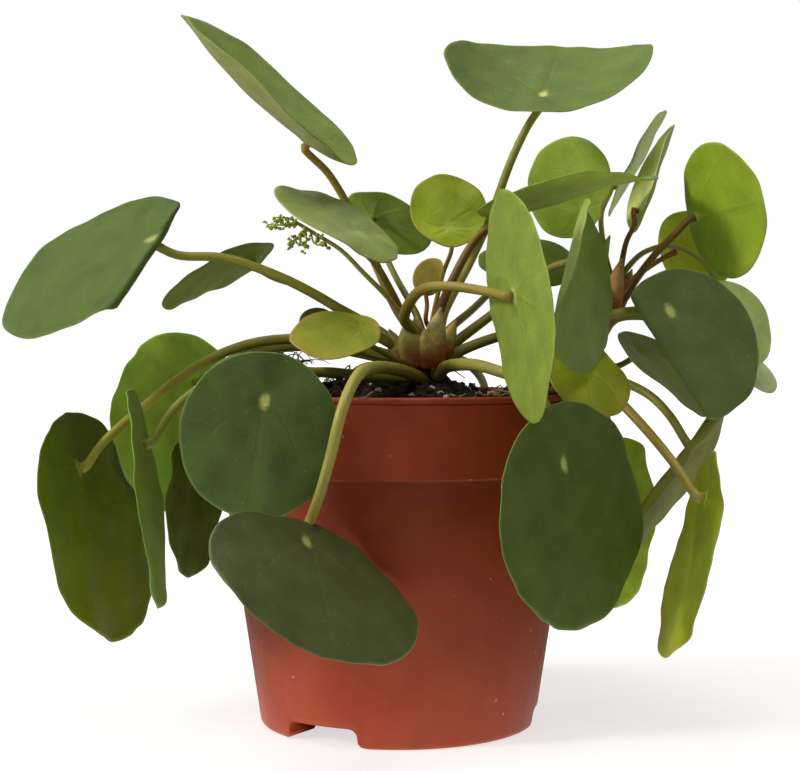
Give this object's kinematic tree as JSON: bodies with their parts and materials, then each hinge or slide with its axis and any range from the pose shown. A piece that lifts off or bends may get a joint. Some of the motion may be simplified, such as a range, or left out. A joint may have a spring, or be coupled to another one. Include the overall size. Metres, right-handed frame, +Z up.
{
  "type": "potted chinese money plant",
  "caption": "Chinese money plant with round leaves on long stalks, growing in compost in a terracotta-coloured plastic nursery pot.",
  "frame": {"origin": "on the ground at the pot's axis, which is the centre of the plant's box on the ground", "axes": "+X to the right as seen from the front, along the plant's longest reach; +Z up; -Y is the front, the side that the plant is looked at from"},
  "size_m": [0.2588, 0.2113, 0.2306],
  "materials": {
    "pot": "satin moulded polypropylene",
    "compost": "damp dark peat",
    "stem_wood": "rough dark bark",
    "leaf_mature": "satin dark green",
    "leaf_middle": "satin mid green",
    "leaf_young": "satin yellow-green",
    "leaf_old": "satin yellowing green",
    "leaf_red": "satin reddish young leaf",
    "flower_spray": "matt pale green buds"
  },
  "bodies": {
    "root": {"pot": "pot", "compost": "compost", "main_stem": "stem_wood", "side_stem": "stem_wood", "leaf_top_left": "leaf_mature", "leaf_top_right": "leaf_mature", "leaf_far_left": "leaf_mature", "leaf_left_back": "leaf_mature", "leaf_centre_left": "leaf_mature", "leaf_centre_back": "leaf_mature", "leaf_centre_young": "leaf_young", "leaf_centre_red": "leaf_red", "leaf_centre_edge": "leaf_mature", "leaf_front_upright": "leaf_young", "leaf_right_blue": "leaf_mature", "leaf_right_bright_back": "leaf_young", "leaf_right_slim_high": "leaf_middle", "leaf_right_slim_low": "leaf_middle", "leaf_right_bright": "leaf_young", "leaf_right_bright_behind": "leaf_young", "leaf_right_dark": "leaf_mature", "leaf_right_pale_behind": "leaf_middle", "leaf_far_right": "leaf_middle", "leaf_right_folded": "leaf_mature", "leaf_yellow": "leaf_old", "leaf_front_right": "leaf_mature", "leaf_front_right_behind": "leaf_young", "leaf_low_right_edge": "leaf_mature", "leaf_low_right": "leaf_middle", "leaf_left_round_behind": "leaf_middle", "leaf_left_slim": "leaf_mature", "leaf_low_left": "leaf_middle", "leaf_low_left_inner": "leaf_mature", "leaf_front_left": "leaf_mature", "leaf_front_low": "leaf_mature", "leaf_small_yellow": "leaf_old", "leaf_small_round": "leaf_middle", "leaf_back_right": "leaf_mature", "leaf_young_rolled": "leaf_young", "leaf_behind_left": "leaf_mature", "leaf_behind_right": "leaf_mature", "flower_spray": "flower_spray"}
  },
  "joints": []
}
